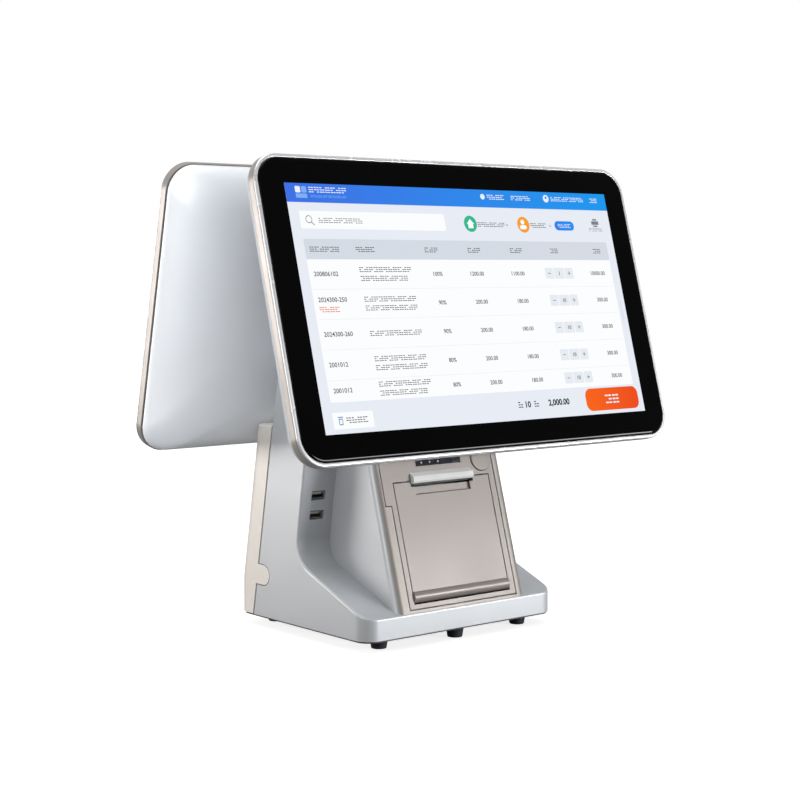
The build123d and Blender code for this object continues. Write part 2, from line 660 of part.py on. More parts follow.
def make_platen_gear():
    """A gap of the teeth points at the motor."""
    half_tooth = math.pi / PLATEN_TEETH
    return on_front(Pos(GEAR_X0, PLATEN_S, PLATEN_N) * gear(PLATEN_TEETH, SHAFT_R, math.pi / 2 + half_tooth))


# ---------------------------------------------------------------- boards and sockets
def make_mainboard():
    return block(-86, 86, 14, 98, 5.0, 6.6)


def make_cooler():
    cooler = block(-25, 25, 30, 80, 6.6, 9.0)
    for i in range(9):
        x = -24 + 5.75 * i
        cooler += block(x, x + 2, 30, 80, 9.0, 17.0)
    return cooler


def usb_place(up):
    return RECESS.location * Pos(USB_X, up, 0)


def make_usb_shells():
    tube = Pos(0, 0, -8.2) * (Box(13.1, 5.7, 14.0) - Box(12.3, 4.9, 20.0))
    return [usb_place(up) * tube for up in USB_HEIGHTS]


def make_usb_tongues():
    tongue = Pos(0, 0.9, -9.5) * Box(11.0, 1.8, 11.4)
    return [usb_place(up) * tongue for up in USB_HEIGHTS]


def make_usb_board():
    middle = sum(USB_HEIGHTS) / 2
    return RECESS.location * Pos(USB_X, middle, -16.0) * Box(22, 46, 1.6)


def make_io_panel():
    panel = block(-95, 95, PANEL_Y0, PANEL_Y1, 1.0, 36.0)
    panel -= Pos(NETWORK_X, PANEL_Y0, SOCKET_Z) * Box(16.4, 10, 14.0)
    panel -= Pos(DRAWER_X, PANEL_Y0, SOCKET_Z) * Box(13.4, 10, 12.0)
    panel -= Pos(INLET_X, PANEL_Y0, SOCKET_Z) * Box(14.4, 10, 11.4)
    return panel


def make_sockets():
    """Network socket and cash-drawer socket, open towards the back."""
    network = block(NETWORK_X - 8, NETWORK_X + 8, 129, 148.5, SOCKET_Z - 6.8, SOCKET_Z + 6.8)
    network -= block(NETWORK_X - 5.9, NETWORK_X + 5.9, 134, 150, SOCKET_Z - 4.2, SOCKET_Z + 4.2)
    drawer = block(DRAWER_X - 6.5, DRAWER_X + 6.5, 132, 148.5, SOCKET_Z - 5.8, SOCKET_Z + 5.8)
    drawer -= block(DRAWER_X - 4.9, DRAWER_X + 4.9, 136, 150, SOCKET_Z - 3.5, SOCKET_Z + 3.5)
    return [network, drawer]


def make_power_inlet():
    inlet = block(INLET_X - 7, INLET_X + 7, 134, 148.5, SOCKET_Z - 5.5, SOCKET_Z + 5.5)
    depth = Rot(90, 0, 0)
    inlet -= Pos(INLET_X, 144, SOCKET_Z) * depth * Cylinder(3.2, 14)
    inlet += Pos(INLET_X, 141.5, SOCKET_Z) * depth * Cylinder(1.25, 13)
    return inlet


# ---------------------------------------------------------------- displays
def shell_form(grow, start):
    """The pillow-shaped back: rounded rectangles that shrink along a quarter of an ellipse."""
    rings = 7
    sections = []
    for i in range(rings + 1):
        angle = math.pi / 2 * i / rings
        depth = 10.0 + (SHELL_DEPTH - 10.0 + grow) * math.sin(angle)
        inset = 62.0 * (1 - math.cos(angle))
        width, height = FRAME_W - 2 - 2 * inset * 1.3 + 2 * grow, FRAME_H - 2 - 2 * inset + 2 * grow
        radius = FRAME_R - 1 + 0.4 * inset + grow
        sections.append(Pos(0, 0, -depth) * RectangleRounded(width, height, radius))
    form = loft(sections, ruled=True)
    if start:
        form += plate(FRAME_W - 2 + 2 * grow, FRAME_H - 2 + 2 * grow, FRAME_R - 1 + grow, -10.0, -start)
    return form


def display_pieces():
    """Every piece of one display, with the glass front at z = 0 and the viewer towards +z."""
    pieces = {}
    pieces["touch_glass"] = plate(GLASS_W, GLASS_H, GLASS_R, -GLASS_T, 0)
    frame = plate(FRAME_W, FRAME_H, FRAME_R, -FRAME_BACK, -LIP_DROP)
    frame -= plate(GLASS_W + 1, GLASS_H + 1, GLASS_R + 0.5, -GLASS_T, 1)
    frame -= plate(LCD_W + 2, LCD_H + 2, 2, -FRAME_BACK - 1, 0)
    pieces["display_frame"] = frame
    pieces["lcd_panel"] = plate(LCD_W, LCD_H, 1.5, -GLASS_T - LCD_T, -GLASS_T)
    carrier = plate(378, 224, 14, -FRAME_BACK - PLATE_T, -FRAME_BACK)
    pieces["panel_plate"] = carrier
    board_z = -FRAME_BACK - PLATE_T
    pieces["driver_board"] = block(60, 150, -25, 25, board_z - 4.6, board_z - 3.0) + sum_blocks(
        [(64, -21), (64, 19), (144, -21), (144, 19)], board_z - 3.0, board_z
    )
    shell = shell_form(0, 0) - shell_form(-SHELL_WALL, 8)
    ring = plate(390, 235, 20.5, -10.0, -FRAME_BACK) - plate(385, 230, 18, -11, 0)
    shell += ring
    posts, screws = [], []
    for x in (-MOUNT_PITCH / 2, MOUNT_PITCH / 2):
        for y in (-MOUNT_PITCH / 2, MOUNT_PITCH / 2):
            shell -= Pos(x, y, -SHELL_DEPTH) * Cylinder(2.1, 12)
            post = Pos(x, y, (board_z - SHELL_DEPTH + SHELL_WALL) / 2) * Cylinder(
                4.5, SHELL_DEPTH - SHELL_WALL + board_z
            )
            post -= Pos(x, y, -SHELL_DEPTH + SHELL_WALL + 5) * Cylinder(2.0, 10.0)
            posts.append(post)
            head_z = -SHELL_DEPTH - BRACKET_T
            screw = Pos(x, y, head_z - 1.2) * Cylinder(3.8, 2.4)
            screw += Pos(x, y, head_z + 7.0) * Cylinder(2.0, 14.0)
            screws.append(screw)
    pieces["back_shell"] = shell
    pieces["mount_posts"] = posts
    pieces["mount_screws"] = screws
    pieces["hinge_bracket"] = make_hinge_bracket()
    return pieces


def sum_blocks(places, z0, z1):
    """Small square stand-offs."""
    total = None
    for x, y in places:
        one = block(x, x + 3, y, y + 3, z0, z1)
        total = one if total is None else total + one
    return total


def make_hinge_bracket():
    """Steel plate on the back shell with two bored ears that turn on the hinge shafts."""
    top = -SHELL_DEPTH
    bracket = plate(124, 96, 8, top - BRACKET_T, top)
    for side in (-1, 1):
        x0 = BRACKET_EAR_X if side > 0 else -BRACKET_EAR_X - BRACKET_EAR_T
        x1 = x0 + BRACKET_EAR_T
        ear = block(x0, x1, -10, 10, -HINGE_DEPTH, top - BRACKET_T) + rod(10, x0, x1, 0, -HINGE_DEPTH)
        bracket += ear
        bracket -= rod(HINGE_PIN_R + RUNNING_GAP, x0 - 1, x1 + 1, 0, -HINGE_DEPTH)
    for x in (-MOUNT_PITCH / 2, MOUNT_PITCH / 2):
        for y in (-MOUNT_PITCH / 2, MOUNT_PITCH / 2):
            bracket -= Pos(x, y, top) * Cylinder(2.1, 12)
    return bracket


def display_plane(y, z, tilt, facing):
    """The plane of a display's glass; facing is -1 for the cashier's side and 1 for the customer's."""
    angle = math.radians(tilt)
    normal = (0, facing * math.cos(angle), math.sin(angle))
    return Plane(origin=(0, y, z), x_dir=(-facing, 0, 0), z_dir=normal)


def save_display(prefix, plane):
    for name, piece in display_pieces().items():
        solids = piece if isinstance(piece, list) else [piece]
        placed = [plane.location * s for s in solids]
        save(f"{prefix}_{name}", placed[0] if len(placed) == 1 else Compound(children=placed))


# ---------------------------------------------------------------- write every node
def group(shapes):
    return Compound(children=list(shapes))


save("body_shell", make_body_shell())
save("base_tray", make_base_tray())
save("rubber_feet", group(make_feet()))
save("tray_screws", group(make_tray_screws()))
save("rear_cover", make_rear_cover())
save("support_spine", make_spine())
save("main_hinge_shafts", group(make_hinge_shafts(MAIN_HINGE)))
save("rear_hinge_shafts", group(make_hinge_shafts(REAR_HINGE)))
save("hinge_nuts", group(make_hinge_nuts()))
save("neck_cover", make_neck_cover())

save("printer_housing", make_printer_housing())
save("printer_bezel", make_printer_bezel())
save("exit_bar", make_exit_bar())
save("tear_blade", make_tear_blade())
save("indicator_strip", make_indicator_strip())
save("indicator_lights", group(make_indicator_lights()))
save("feed_button", make_feed_button())
save("release_button", make_release_button())
save("release_lever", make_release_lever())
save("lever_pin", front_rod(DOOR_PIN_R, PRINTER_X + CHASSIS_X, LEVER_X + LEVER_T + 1.5, LEVER_S, LEVER_N))
save("printer_chassis", make_printer_chassis())
head, heat_sink = make_print_head()
save("print_head", head)
save("head_heat_sink", heat_sink)
save("feed_motor", make_feed_motor())
save("motor_gear", make_motor_gear())
save("paper_bucket", make_paper_bucket())

save("paper_door", make_paper_door())
save("door_pins", group(make_door_pins()))
save("platen_holder", make_platen_holder())
save("platen_roller", make_platen_roller())
save("platen_shaft", make_platen_shaft())
save("platen_gear", make_platen_gear())

save("mainboard", make_mainboard())
save("board_cooler", make_cooler())
save("usb_shells", group(make_usb_shells()))
save("usb_tongues", group(make_usb_tongues()))
save("usb_board", make_usb_board())
save("io_panel", make_io_panel())
save("cable_sockets", group(make_sockets()))
save("power_inlet", make_power_inlet())

save_display("main", display_plane(MAIN_Y, MAIN_Z, MAIN_TILT, -1))
save_display("rear", display_plane(REAR_Y, REAR_Z, REAR_TILT, 1))
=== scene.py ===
import json
import math

import bmesh
import bpy
from mathutils import Matrix, Vector


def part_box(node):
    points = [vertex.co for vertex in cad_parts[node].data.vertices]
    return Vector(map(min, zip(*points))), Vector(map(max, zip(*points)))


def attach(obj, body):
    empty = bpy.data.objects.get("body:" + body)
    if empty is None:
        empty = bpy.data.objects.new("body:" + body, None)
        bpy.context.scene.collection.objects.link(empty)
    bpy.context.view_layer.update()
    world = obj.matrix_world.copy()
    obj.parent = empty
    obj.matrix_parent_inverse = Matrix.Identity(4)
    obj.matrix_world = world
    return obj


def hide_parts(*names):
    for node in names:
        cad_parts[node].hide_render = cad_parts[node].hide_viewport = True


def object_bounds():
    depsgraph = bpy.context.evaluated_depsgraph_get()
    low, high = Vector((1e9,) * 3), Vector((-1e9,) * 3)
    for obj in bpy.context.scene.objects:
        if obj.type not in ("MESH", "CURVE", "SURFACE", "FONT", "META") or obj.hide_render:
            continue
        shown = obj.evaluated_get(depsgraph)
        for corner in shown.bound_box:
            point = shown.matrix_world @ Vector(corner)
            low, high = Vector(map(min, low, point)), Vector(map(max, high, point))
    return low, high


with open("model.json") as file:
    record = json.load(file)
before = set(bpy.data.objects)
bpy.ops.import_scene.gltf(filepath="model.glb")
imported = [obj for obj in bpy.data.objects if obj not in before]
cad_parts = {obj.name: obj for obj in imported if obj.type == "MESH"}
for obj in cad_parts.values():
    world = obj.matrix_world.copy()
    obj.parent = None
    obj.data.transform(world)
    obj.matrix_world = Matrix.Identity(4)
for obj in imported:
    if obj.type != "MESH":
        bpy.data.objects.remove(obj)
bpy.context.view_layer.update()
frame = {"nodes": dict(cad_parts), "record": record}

MM = 0.001
NODES = frame["nodes"]
SLOT_OF = {part["node"]: part["material_slot"] for part in frame["record"]["subparts"]}
BODY_OF = {n: body for body, members in frame["record"]["behaviour"]["bodies"].items() for n in members}

# displays, millimetres
TILT = {"main": 15.4, "rear": 12.5}
FACING = {"main": -1, "rear": 1}  # the main display looks towards -Y, the rear one towards +Y
GLASS_W, GLASS_H, GLASS_T, GLASS_R = 389.0, 234.0, 3.0, 20.0
FRAME_W, FRAME_H, FRAME_R, FRAME_BACK = 396.0, 241.0, 23.5, 9.0
LIP_DROP, LIP_RADIUS, LIP_STEPS = 0.8, 1.3, 6
# section of the frame as inset and height: its outside with the groove, then the inside of the lip
FRAME_OUTSIDE = ((0.9, -FRAME_BACK), (0.35, -FRAME_BACK), (0.1, -8.9), (0.0, -8.6), (0.0, -3.1),
                 (0.1, -2.85), (0.8, -2.8), (0.8, -2.35), (0.15, -2.3))
FRAME_INSIDE = ((2.75, -LIP_DROP), (2.95, -0.9), (3.0, -1.1), (3.0, -FRAME_BACK))
LIP_INSET = 0.1
EDGE_IN, EDGE_DOWN, EDGE_STEPS = 2.4, 0.9, 8  # rounded edge of the cover glass
GLASS_CHAMFER, GLASS_FLAT = 0.15, 2.0
SHELL_FRONT, SHELL_DEPTH, SHELL_WALL, SHELL_INSET = 10.0, 37.0, 2.5, 62.0
RIM_W, RIM_H, RIM_R = FRAME_W - 2, FRAME_H - 2, FRAME_R - 1  # rim of the back shell
RIM_CHAMFER = 0.5
SHELL_SIDE_PULL, SHELL_ROUNDING = 1.3, 0.4  # how far the sides and the corner radius follow the inset
SHELL_RINGS = 30
CORNER_STEPS = 20
PICTURE_W, PICTURE_H = 344.2, 193.6

# camera, metres and radians
CAMERA_AT = (-0.9423, -1.1316, 0.3064)
CAMERA_YAW, CAMERA_PITCH = 0.690, 0.077
LENS_MM, SENSOR_MM, CLIP_START = 78.408, 36.0, 0.05

# studio: lights as name, place, size, watts, colour and the only pieces lit
FLOOR_RADIUS, FLOOR_GLOW = 12.0, 0.80
FLOOR_BOUNCE = (0.20, 0.20, 0.20, 1.0)
FLOOR_PALE, FLOOR_PALER = (0.60, 0.60, 0.60, 1.0), (0.62, 0.62, 0.62, 1.0)
FLOOR_DROP = 0.0002
WORLD_TOWARDS = (-0.45, 0.60, 0.66)
WORLD_DARK, WORLD_BRIGHT, WORLD_RANGE = 0.12, 0.42, (-0.6, 0.9)
LIGHTS_AIM = (0.0, 0.0, 0.2)
LIGHTS = (
    ("key_left_rear", (-1.5, 1.6, 0.35), (1.0, 0.7), 17.0, (1.0, 0.96, 0.92), ()),
    ("top", (-0.1, -0.1, 2.5), (1.6, 1.6), 40.0, (1.0, 1.0, 1.0), ()),
    ("left", (-2.4, -0.6, 0.8), (0.8, 0.8), 13.0, (1.0, 0.98, 0.96), ()),
    ("front", (1.4, -2.1, 0.28), (1.4, 0.5), 50.0, (1.0, 1.0, 1.0), ()),
    ("rear_fill", (-1.5, -2.0, 0.75), (2.6, 1.3), 66.0, (1.0, 1.0, 1.0), ("rear_pillow_back",)),
)


# ---------------------------------------------------------------- materials
COAT_ROUGH = 0.1
FRONT_SHADE_RANGE = (-0.9, -0.6)  # painted front shade: Y of a normal between facing the front and not
PAINTED_SHADE_REACH, PAINTED_SHADE_RANGE = 0.12, (0.24, 0.60)  # painted shade in hollows: metres looked around, and how open a deep or plain face is
PAINTED_SHADE_FACTOR = 0.65  # painted shade: how dark the colour is made deep inside a hollow, where shade falls
GRAIN_DEPTH, TRACK_DEPTH = 0.00002, 0.00004
EDGE_RADIUS, EDGE_SHARPNESS = 0.0008, 0.25
CLOUD_SCALE, WEAR_SCALE, GLOSS_SCALE = 7.0, 60.0, 18.0  # noise sizes of tint, rubbed edges and uneven gloss
SPECK_FINER, SPECK_SHARE, SPECK_LIFT = 1.7, 0.15, 1.12
RUBBED_LIFT = 1.25
METAL_GRAIN = 0.35


def srgb(r, g, b):
    """A linear colour from display values between 0 and 255."""
    channels = []
    for value in (r, g, b):
        v = value / 255
        channels.append(v / 12.92 if v <= 0.04045 else ((v + 0.055) / 1.055) ** 2.4)
    return (*channels, 1.0)


def scaled(colour, factor):
    return (*(min(1.0, c * factor) for c in colour[:3]), 1.0)


class Finish:
    """A Principled material built up node by node in object space."""

    def __init__(self, name, metallic=0.0, specular=0.5, coat=0.0):
        self.material = bpy.data.materials.new(name)
        self.material.use_nodes = True
        self.tree = self.material.node_tree
        self.shader = self.tree.nodes["Principled BSDF"]
        self.shader.inputs["Metallic"].default_value = metallic
        self.shader.inputs["Specular IOR Level"].default_value = specular
        self.shader.inputs["Coat Weight"].default_value = coat
        self.shader.inputs["Coat Roughness"].default_value = COAT_ROUGH
        self.place = self.tree.nodes.new("ShaderNodeTexCoord").outputs["Object"]

    def node(self, kind, **settings):
        made = self.tree.nodes.new(kind)
        for key, value in settings.items():
            setattr(made, key, value)
        return made

    def link(self, source, target):
        self.tree.links.new(source, target)

    def stretched(self, scale):
        mapping = self.node("ShaderNodeMapping")
        mapping.inputs["Scale"].default_value = scale
        self.link(self.place, mapping.inputs["Vector"])
        return mapping.outputs["Vector"]

    def noise(self, scale, detail=2.0, rough=0.5, place=None):
        made = self.node("ShaderNodeTexNoise")
        made.inputs["Scale"].default_value = scale
        made.inputs["Detail"].default_value = detail
        made.inputs["Roughness"].default_value = rough
        self.link(place or self.place, made.inputs["Vector"])
        return made.outputs["Fac"]

    def spread(self, value, low, high, source_low=0.3, source_high=0.7):
        made = self.node("ShaderNodeMapRange")
        made.inputs["From Min"].default_value = source_low
        made.inputs["From Max"].default_value = source_high
        made.inputs["To Min"].default_value = low
        made.inputs["To Max"].default_value = high
        self.link(value, made.inputs["Value"])
        return made.outputs["Result"]

    def blend(self, factor, first, second):
        made = self.node("ShaderNodeMix", data_type="RGBA")
        for socket, value in ((made.inputs["A"], first), (made.inputs["B"], second)):
            if isinstance(value, tuple):
                socket.default_value = value
            else:
                self.link(value, socket)
        self.link(factor, made.inputs["Factor"])
        return made.outputs["Result"]

    def product(self, first, second):
        made = self.node("ShaderNodeMath", operation="MULTIPLY")
        self.link(first, made.inputs[0])
        if isinstance(second, float):
            made.inputs[1].default_value = second
        else:
            self.link(second, made.inputs[1])
        return made.outputs["Value"]

    def colour(self, source):
        self.link(source, self.shader.inputs["Base Color"])

    def roughness(self, source):
        self.link(source, self.shader.inputs["Roughness"])

    def bump(self, height, strength, depth):
        made = self.node("ShaderNodeBump")
        made.inputs["Strength"].default_value = strength
        made.inputs["Distance"].default_value = depth
        self.link(height, made.inputs["Height"])
        self.link(made.outputs["Normal"], self.shader.inputs["Normal"])

    def front_shade_mask(self):
        """Mask of the painted front shade: 1 on the faces that look towards -Y, 0 on the others, with a soft
        change round the corner.
        """
        parts = self.node("ShaderNodeSeparateXYZ")
        self.link(self.node("ShaderNodeNewGeometry").outputs["Normal"], parts.inputs["Vector"])
        return self.spread(parts.outputs["Y"], 1.0, 0.0, *FRONT_SHADE_RANGE)

    def painted_shade_mask(self):
        """Mask of the painted shade: 1 on open faces, towards 0 deep inside hollows."""
        shade = self.node("ShaderNodeAmbientOcclusion", samples=6)
        shade.inputs["Distance"].default_value = PAINTED_SHADE_REACH
        return self.spread(shade.outputs["AO"], 0.0, 1.0, *PAINTED_SHADE_RANGE)

    def edges(self, radius, sharpness):
        """1 along convex and concave edges, 0 on open faces, from a rounded normal."""
        rounded = self.node("ShaderNodeBevel", samples=4)
        rounded.inputs["Radius"].default_value = radius
        geometry = self.node("ShaderNodeNewGeometry")
        dot = self.node("ShaderNodeVectorMath", operation="DOT_PRODUCT")
        self.link(rounded.outputs["Normal"], dot.inputs[0])
        self.link(geometry.outputs["Normal"], dot.inputs[1])
        return self.spread(dot.outputs["Value"], 1.0, 0.0, 1.0 - sharpness, 1.0)


def moulded(name, colour, rough, metallic=0.0, grain=0.4, grain_scale=1500.0, mottle=0.015, wear=0.12,
            specular=0.5, coat=0.0, front=None, paint_hollow_shade=False):
    """Moulded plastic or paint: cloudy tint, fine spark grain, handled patches and rubbed edges.

    front is painted shade: a darker colour for the faces that look towards -Y; the last argument paints shade
    into hollows, darker deep inside them.
    """
    f = Finish(name, metallic, specular, coat)
    cloud = f.noise(CLOUD_SCALE, 3.0)
    tint = f.blend(f.spread(cloud, 0.0, 1.0), scaled(colour, 1 - mottle), scaled(colour, 1 + mottle))
    # painted shade: faces looking towards -Y get the darker, warmer front colour, as the light falls on them
    if front:
        tint = f.blend(f.front_shade_mask(), tint, front)
    # painted shade: the colour darkens deep inside hollows and under parts, where shade falls
    if paint_hollow_shade:
        tint = f.blend(f.painted_shade_mask(), scaled(colour, PAINTED_SHADE_FACTOR), tint)
    speck = f.spread(f.noise(grain_scale * SPECK_FINER, 1.0), 0.0, 1.0, 0.52, 0.72)
    tint = f.blend(f.product(speck, SPECK_SHARE), tint, scaled(colour, SPECK_LIFT))
    patches = f.noise(WEAR_SCALE, 4.0)
    rubbed = f.product(f.edges(EDGE_RADIUS, EDGE_SHARPNESS), f.spread(patches, 0.0, wear, 0.4, 0.65))
    f.colour(f.blend(rubbed, tint, scaled(colour, RUBBED_LIFT)))
    f.roughness(f.spread(f.noise(GLOSS_SCALE, 4.0, 0.6), rough - 0.05, rough + 0.06))
    f.bump(f.noise(grain_scale, 2.0), grain, GRAIN_DEPTH)
    return f.material


def sheet_metal(name, colour, rough, direction=(30.0, 900.0, 30.0)):
    """Rolled or ground metal: streaks along one direction and faint stains."""
    f = Finish(name, 1.0)
    streak = f.noise(1.0, 3.0, 0.6, f.stretched(direction))
    tint = f.blend(f.spread(streak, 0.0, 1.0), scaled(colour, 0.86), scaled(colour, 1.06))
    stain = f.spread(f.noise(35.0, 4.0), 0.0, 0.35, 0.5, 0.75)
    f.colour(f.blend(stain, tint, scaled(colour, 0.72)))
    f.roughness(f.spread(streak, rough - 0.06, rough + 0.1))
    f.bump(streak, METAL_GRAIN, GRAIN_DEPTH)
    return f.material


def black_glass(name):
    """Black printed cover glass: deep and glossy, with a trace of wiping and dust."""
    f = Finish(name, 0.0, specular=0.16)
    haze = f.spread(f.noise(5.0, 4.0, 0.6), 0.0, 1.0, 0.35, 0.7)
    f.colour(f.blend(haze, (0.0005, 0.0005, 0.0006, 1.0), (0.0011, 0.0011, 0.0013, 1.0)))
    smear = f.noise(1.0, 4.0, 0.6, f.stretched((9.0, 9.0, 26.0)))
    f.roughness(f.spread(smear, 0.05, 0.11))
    return f.material


def circuit_board(name):
    """Green solder mask over copper tracks on a square pitch, with pale pads."""
    f = Finish(name, 0.0, coat=0.3)
    cells = f.node("ShaderNodeTexVoronoi", distance="CHEBYCHEV")
    cells.inputs["Scale"].default_value = 260.0
    f.link(f.place, cells.inputs["Vector"])
    track = f.spread(f.noise(1.0, 2.0, 0.5, f.stretched((420.0, 60.0, 420.0))), 0.0, 1.0, 0.48, 0.53)
    mask = f.blend(track, (0.012, 0.085, 0.035, 1.0), (0.03, 0.16, 0.06, 1.0))
    pad = f.spread(cells.outputs["Distance"], 1.0, 0.0, 0.10, 0.14)
    chosen = f.product(pad, f.spread(f.noise(90.0, 1.0), 0.0, 1.0, 0.55, 0.58))
    f.colour(f.blend(chosen, mask, (0.62, 0.60, 0.52, 1.0)))
    f.roughness(f.spread(f.noise(200.0, 2.0), 0.28, 0.42))
    f.bump(track, 0.4, TRACK_DEPTH)
    return f.material


def rubber(name, colour, rough):
    """Matt rubber with a pale film of dust."""
    f = Finish(name, 0.0, specular=0.35)
    dust = f.spread(f.noise(40.0, 5.0, 0.65), 0.0, 0.5, 0.45, 0.75)
    f.colour(f.blend(dust, colour, scaled(colour, 2.2)))
    f.roughness(f.spread(f.noise(90.0, 3.0), rough - 0.08, rough + 0.08))
    f.bump(f.noise(900.0, 3.0), 0.6, TRACK_DEPTH)
    return f.material


def lit_window(name, colour, strength):
    """A small lit window with an uneven glow."""
    f = Finish(name, 0.0)
    glow = f.spread(f.noise(400.0, 2.0), 0.75, 1.0)
    f.colour(f.blend(glow, scaled(colour, 0.4), colour))
    f.roughness(f.spread(f.noise(700.0, 2.0), 0.18, 0.3))
    f.link(f.blend(glow, scaled(colour, 0.6), colour), f.shader.inputs["Emission Color"])
    f.shader.inputs["Emission Strength"].default_value = strength
    return f.material


SILVER = srgb(206, 209, 213)
WARM_WHITE = srgb(240, 235, 229)
WARM_GREY = srgb(149, 142, 138)
# painted shade: the darker, warmer colour given to the housing's faces looking towards -Y
HOUSING_FRONT_SHADE = srgb(144, 137, 131)
PALE_TRIM = srgb(232, 232, 232)
OWN_FINISH = {"printer_housing": "housing"}  # nodes whose finish isn't their slot's


def make_slot_materials():
    """One finish for each material slot of the record, and two more shades of the silver paint, one of them
    with painted shade on the faces looking towards -Y.
    """
    return {
        # silver_shell and housing carry painted shade in hollows
        "silver_shell": moulded("silver_shell", SILVER, 0.40, metallic=0.30, paint_hollow_shade=True),
        # the housing also carries painted shade on its faces looking towards -Y
        "housing": moulded("housing", SILVER, 0.40, metallic=0.30, front=HOUSING_FRONT_SHADE,
                            paint_hollow_shade=True),
        "display_back": moulded("display_back", srgb(212, 216, 221), 0.50, metallic=0.22),
        "warm_shell": moulded("warm_shell", WARM_WHITE, 0.42, metallic=0.15),
        "warm_grey": moulded("warm_grey", WARM_GREY, 0.38, metallic=0.20),
        "frame_grey": moulded("frame_grey", srgb(166, 160, 156), 0.34, metallic=0.25),
        "light_trim": moulded("light_trim", PALE_TRIM, 0.24, grain=0.15, coat=0.3),
        "black_gloss": moulded("black_gloss", srgb(38, 40, 46), 0.16, grain=0.1, wear=0.1, coat=0.5),
        "black_plastic": moulded("black_plastic", srgb(42, 42, 44), 0.46, grain=0.7, grain_scale=1100.0),
        "front_glass": black_glass("front_glass"),
        "panel_black": moulded("panel_black", srgb(34, 34, 38), 0.40, wear=0.1),
        "dark_steel": moulded("dark_steel", srgb(58, 59, 62), 0.44, grain=0.9, grain_scale=800.0),
        "steel": sheet_metal("steel", srgb(186, 188, 190), 0.34),
        "screw_steel": sheet_metal("screw_steel", srgb(168, 168, 172), 0.30, (300.0, 300.0, 300.0)),
        "aluminium": sheet_metal("aluminium", srgb(205, 207, 210), 0.36, (30.0, 30.0, 900.0)),
        "rubber": rubber("rubber", srgb(38, 41, 52), 0.58),
        "gear_plastic": moulded("gear_plastic", srgb(226, 223, 212), 0.36, grain=0.2),
        "circuit_board": circuit_board("circuit_board"),
        "ceramic_head": moulded("ceramic_head", srgb(214, 208, 196), 0.18, grain=0.1, coat=0.4),
        "socket_tongue": moulded("socket_tongue", srgb(224, 220, 208), 0.30, grain=0.15),
        "light_window": lit_window("light_window", srgb(176, 182, 196), 0.12),
    }


# ---------------------------------------------------------------- mesh helpers
def rounded_ring(half_w, half_h, radius, steps=CORNER_STEPS):
    """The outline of a rounded rectangle, anticlockwise from its right side's top corner."""
    points = []
    for index, (sx, sy) in enumerate(((1, 1), (-1, 1), (-1, -1), (1, -1))):
        for i in range(steps + 1):
            angle = math.radians(90 * index + 90 * i / steps)
            x = sx * (half_w - radius) + radius * math.cos(angle)
            y = sy * (half_h - radius) + radius * math.sin(angle)
            points.append((x, y))
    return points


def loft(rings, closed=False, materials=None):
    """A skin through rings of (points, z), capped at both ends or closed into a loop."""
    skin = bmesh.new()
    rows = [[skin.verts.new((x, y, z)) for x, y in points] for points, z in rings]
    count = len(rows[0])
    pairs = list(zip(rows, rows[1:])) + ([(rows[-1], rows[0])] if closed else [])
    for step, (low, high) in enumerate(pairs):
        for i in range(count):
            j = (i + 1) % count
            face = skin.faces.new((low[i], low[j], high[j], high[i]))
            face.material_index = materials[step] if materials else 0
    if not closed:
        skin.faces.new(list(reversed(rows[0])))
        skin.faces.new(rows[-1])
    bmesh.ops.recalc_face_normals(skin, faces=skin.faces)
    return skin


def to_mesh(name, skin, matrix, sharp_angle=40.0):
    """Writes a bmesh drawn in millimetres as a smooth-shaded mesh in the shared frame."""
    mesh = bpy.data.meshes.new(name)
    skin.to_mesh(mesh)
    skin.free()
    mesh.transform(matrix @ Matrix.Scale(MM, 4))
    for polygon in mesh.polygons:
        polygon.use_smooth = True
    mesh.set_sharp_from_angle(angle=math.radians(sharp_angle))
    return mesh


def add_piece(name, mesh, body, materials, replaced):
    """Links a finished mesh, gives it its finish and makes it ride its body in place of CAD nodes."""
    piece = bpy.data.objects.new(name, mesh)
    bpy.context.scene.collection.objects.link(piece)
    for material in materials:
        mesh.materials.append(material)
    even = piece.modifiers.new("even_normals", "WEIGHTED_NORMAL")
    even.keep_sharp = True
    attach(piece, body)
    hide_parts(*replaced)


# ---------------------------------------------------------------- displays
def display_matrix(prefix):
    """From a display's own axes, x right, y up and z out of the glass, to the shared frame."""
    low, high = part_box(f"{prefix}_touch_glass")
    tilt = math.radians(TILT[prefix])
    out = Vector((0, FACING[prefix] * math.cos(tilt), math.sin(tilt)))
    right = Vector((-FACING[prefix], 0, 0))
    up = out.cross(right)
    matrix = Matrix((right, up, out)).transposed().to_4x4()
    matrix.translation = (low + high) / 2 + out * (GLASS_T / 2 * MM)
    return matrix


def frame_rings():
    """Section of the frame from its back, round the outside groove and the bright lip, to its inner wall."""
    section = list(FRAME_OUTSIDE)
    groove_top = len(section) - 1
    for i in range(LIP_STEPS + 1):
        angle = math.radians(90 * i / LIP_STEPS)
        inset = LIP_INSET + LIP_RADIUS * (1 - math.cos(angle))
        section.append((inset, -LIP_DROP - LIP_RADIUS * (1 - math.sin(angle))))
    section += FRAME_INSIDE
    rings = []
    for inset, z in section:
        rings.append((rounded_ring(FRAME_W / 2 - inset, FRAME_H / 2 - inset, FRAME_R - inset), z))
    materials = [1 if groove_top <= i < len(section) - 2 else 0 for i in range(len(section))]
    return rings, materials


